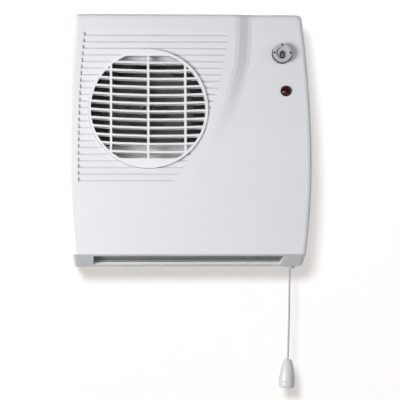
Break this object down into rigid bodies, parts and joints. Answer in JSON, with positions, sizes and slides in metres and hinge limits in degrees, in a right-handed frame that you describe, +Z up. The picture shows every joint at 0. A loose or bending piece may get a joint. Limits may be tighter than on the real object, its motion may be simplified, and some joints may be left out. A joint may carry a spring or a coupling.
{
  "type": "bathroom wall fan heater",
  "caption": "White wall-mounted fan heater with a louvred front, round slatted intake, slotted outlet under the front edge, setting dial, neon lamp and a pull cord with a bell-shaped knob.",
  "frame": {"origin": "centre of the flat wall face of the rear panel", "axes": "+Z up the wall, +X to the right seen from the front, +Y into the wall; the front faces -Y"},
  "size_m": [0.2454, 0.1206, 0.3796],
  "materials": {
    "cable_grommet": "moulded",
    "clamp_screw_left": "plated",
    "clamp_screw_right": "plated",
    "coil_bobbin": "natural nylon",
    "cord_bush": "satin white moulding",
    "cord_clamp": "natural nylon",
    "cover_screw_left": "plated",
    "cover_screw_right": "plated",
    "fan_scroll": "matt dark grey moulding",
    "fan_shroud": "matt pale grey moulding",
    "front_bearing_bracket": "pressed",
    "front_cover": "satin white moulding",
    "heater_frame": "plated sheet",
    "heater_terminal_1": "stamped",
    "heater_terminal_2": "stamped",
    "heater_terminal_3": "stamped",
    "heater_wire": "black sleeve",
    "heating_element_lower": "oxidised",
    "heating_element_upper": "oxidised",
    "impeller": "matt dark moulding",
    "impeller_nut": "turned, aged",
    "inlet_ring": "matt dark grey moulding",
    "inner_cord": "braided",
    "intake_grille": "satin white moulding",
    "lamp_holder": "moulded black",
    "lamp_wire": "brown sleeve",
    "mica_board_1": "mica",
    "mica_board_2": "mica",
    "mica_board_3": "mica",
    "motor_bolt_left": "plated",
    "motor_bolt_right": "plated",
    "motor_coil": "enamelled copper winding",
    "motor_rotor": "cast and turned",
    "motor_shaft": "ground",
    "motor_stator": "laminated",
    "motor_wire": "grey sleeve",
    "neon_bulb": "clear",
    "neon_lens": "clear dark red",
    "outlet_grille": "matt pale grey moulding",
    "pull_cord": "braided",
    "pull_knob": "satin moulding",
    "rear_bearing_bracket": "pressed",
    "rear_panel": "matt pale grey moulding",
    "return_spring": "drawn wire",
    "scroll_screw_1": "plated",
    "scroll_screw_2": "plated",
    "scroll_screw_3": "plated",
    "selector_dial": "satin grey moulding",
    "switch_body": "matt dark moulding",
    "switch_lever": "natural moulding",
    "switch_wire": "blue sleeve",
    "terminal_block": "natural nylon",
    "terminal_screw_1": "plated",
    "terminal_screw_2": "plated",
    "terminal_screw_3": "plated",
    "thermal_cutout": "moulded black"
  },
  "bodies": {
    "casing": {"cable_grommet": "cable_grommet", "clamp_screw_left": "clamp_screw_left", "clamp_screw_right": "clamp_screw_right", "coil_bobbin": "coil_bobbin", "cord_bush": "cord_bush", "cord_clamp": "cord_clamp", "cover_screw_left": "cover_screw_left", "cover_screw_right": "cover_screw_right", "fan_scroll": "fan_scroll", "fan_shroud": "fan_shroud", "front_bearing_bracket": "front_bearing_bracket", "front_cover": "front_cover", "heater_frame": "heater_frame", "heater_terminal_1": "heater_terminal_1", "heater_terminal_2": "heater_terminal_2", "heater_terminal_3": "heater_terminal_3", "heater_wire": "heater_wire", "heating_element_lower": "heating_element_lower", "heating_element_upper": "heating_element_upper", "inlet_ring": "inlet_ring", "intake_grille": "intake_grille", "lamp_holder": "lamp_holder", "lamp_wire": "lamp_wire", "mica_board_1": "mica_board_1", "mica_board_2": "mica_board_2", "mica_board_3": "mica_board_3", "motor_bolt_left": "motor_bolt_left", "motor_bolt_right": "motor_bolt_right", "motor_coil": "motor_coil", "motor_stator": "motor_stator", "motor_wire": "motor_wire", "neon_bulb": "neon_bulb", "neon_lens": "neon_lens", "outlet_grille": "outlet_grille", "rear_bearing_bracket": "rear_bearing_bracket", "rear_panel": "rear_panel", "return_spring": "return_spring", "scroll_screw_1": "scroll_screw_1", "scroll_screw_2": "scroll_screw_2", "scroll_screw_3": "scroll_screw_3", "switch_body": "switch_body", "switch_wire": "switch_wire", "terminal_block": "terminal_block", "terminal_screw_1": "terminal_screw_1", "terminal_screw_2": "terminal_screw_2", "terminal_screw_3": "terminal_screw_3", "thermal_cutout": "thermal_cutout"},
    "fan": {"impeller": "impeller", "impeller_nut": "impeller_nut", "motor_shaft": "motor_shaft", "motor_rotor": "motor_rotor"},
    "dial": {"selector_dial": "selector_dial"},
    "lever": {"switch_lever": "switch_lever"},
    "pull": {"inner_cord": "inner_cord", "pull_cord": "pull_cord", "pull_knob": "pull_knob"}
  },
  "joints": [
    {"name": "fan_spin", "type": "hinge", "parent": "casing", "child": "fan", "pos_m": [-0.0415, -0.06, 0.0322], "axis": [0, 1, 0], "continuous": true},
    {"name": "dial_turn", "type": "hinge", "parent": "casing", "child": "dial", "pos_m": [0.09375, -0.10155, 0.08825], "axis": [0, -0.9844, 0.1761], "continuous": true},
    {"name": "cord_pull", "type": "slide", "parent": "casing", "child": "pull", "axis": [0, 0, -1], "range_m": [0, 0.01], "stiffness_N_per_m": 300},
    {"name": "lever_swing", "type": "hinge", "parent": "casing", "child": "lever", "pos_m": [0.0883, -0.07, 0.079], "axis": [0, 1, 0], "range_deg": [0, 34], "deforming": ["return_spring"]}
  ],
  "couplings": [
    {"joint": "lever_swing", "follows": "cord_pull", "rad_per_m": 55}
  ]
}
